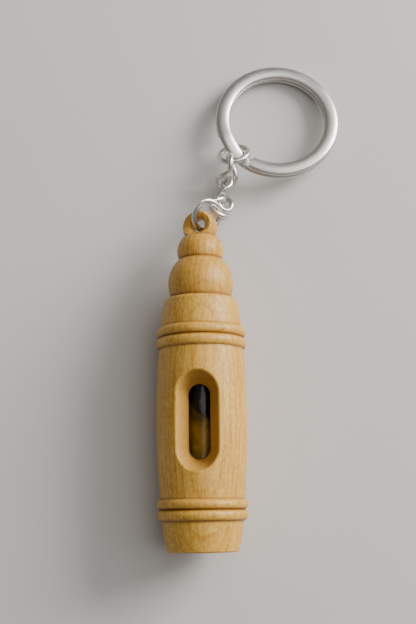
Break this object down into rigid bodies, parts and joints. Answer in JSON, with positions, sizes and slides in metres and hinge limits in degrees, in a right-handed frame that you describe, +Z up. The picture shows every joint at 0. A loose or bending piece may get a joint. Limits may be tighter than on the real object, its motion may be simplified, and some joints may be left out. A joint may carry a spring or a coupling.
{
  "type": "oil vial keychain",
  "caption": "Turned-wood keychain with a windowed barrel, pull-off beaded cap, glass oil vial, short twisted chain and split key ring",
  "frame": {"origin": "middle of the bounding box, on the floor that the keychain lies on", "axes": "+Y along the barrel from its base to its cap, +Z up as it lies, +X to the right"},
  "size_m": [0.0444, 0.1173, 0.0207],
  "materials": {
    "turned_wood": "satin",
    "vial_glass": "gloss",
    "rose_oil": "gloss",
    "stopper_plastic": "matte",
    "nickel_wire": "satin"
  },
  "bodies": {
    "barrel": {"barrel": "turned_wood"},
    "cap": {"cap": "turned_wood"},
    "vial": {"vial": "vial_glass", "oil": "rose_oil"},
    "stopper": {"stopper": "stopper_plastic"},
    "eye_ring": {"eye_ring": "nickel_wire"},
    "link_1": {"link_1": "nickel_wire"},
    "link_2": {"link_2": "nickel_wire"},
    "link_3": {"link_3": "nickel_wire"},
    "jump_ring": {"jump_ring": "nickel_wire"},
    "split_ring": {"split_ring": "nickel_wire"}
  },
  "joints": [
    {"name": "cap_pull", "type": "slide", "parent": "barrel", "child": "cap", "axis": [0, 1, 0], "range_m": [0, 0.06]},
    {"name": "vial_lift", "type": "slide", "parent": "barrel", "child": "vial", "axis": [0, 1, 0], "range_m": [0, 0.0495]},
    {"name": "stopper_pull", "type": "slide", "parent": "vial", "child": "stopper", "axis": [0, 1, 0], "range_m": [0, 0.0066]},
    {"name": "eye_ring_swing", "type": "hinge", "parent": "cap", "child": "eye_ring", "pos_m": [-0.01165, 0.01603, 0.01035], "axis": [-0.4005, 0, 0.9163], "range_deg": [-45, 45]},
    {"name": "link_1_swing", "type": "hinge", "parent": "eye_ring", "child": "link_1", "pos_m": [-0.00707, 0.01941, 0.00919], "axis": [0.0247, -0.8682, -0.4956], "range_deg": [-45, 45]},
    {"name": "link_2_swing", "type": "hinge", "parent": "link_1", "child": "link_2", "pos_m": [-0.00644, 0.02308, 0.00359], "axis": [0.3398, 0.7964, 0.5003], "range_deg": [-45, 4]},
    {"name": "link_3_swing", "type": "hinge", "parent": "link_2", "child": "link_3", "pos_m": [-0.00433, 0.02948, 0.00442], "axis": [0.268, -0.6198, 0.7376], "range_deg": [-45, 45]},
    {"name": "jump_ring_swing", "type": "hinge", "parent": "link_3", "child": "jump_ring", "pos_m": [-0.00452, 0.0342, 0.00708], "axis": [0.1467, 0.1541, 0.9771], "range_deg": [-20, 44]},
    {"name": "split_ring_swing", "type": "hinge", "parent": "jump_ring", "child": "split_ring", "pos_m": [-0.00341, 0.03781, 0.0034], "axis": [-0.9839, -0.1316, -0.1206], "range_deg": [-45, 4]}
  ],
  "couplings": [
    {"joint": "vial_lift", "follows": "cap_pull", "ratio": 0.825},
    {"joint": "stopper_pull", "follows": "cap_pull", "ratio": 0.11}
  ]
}
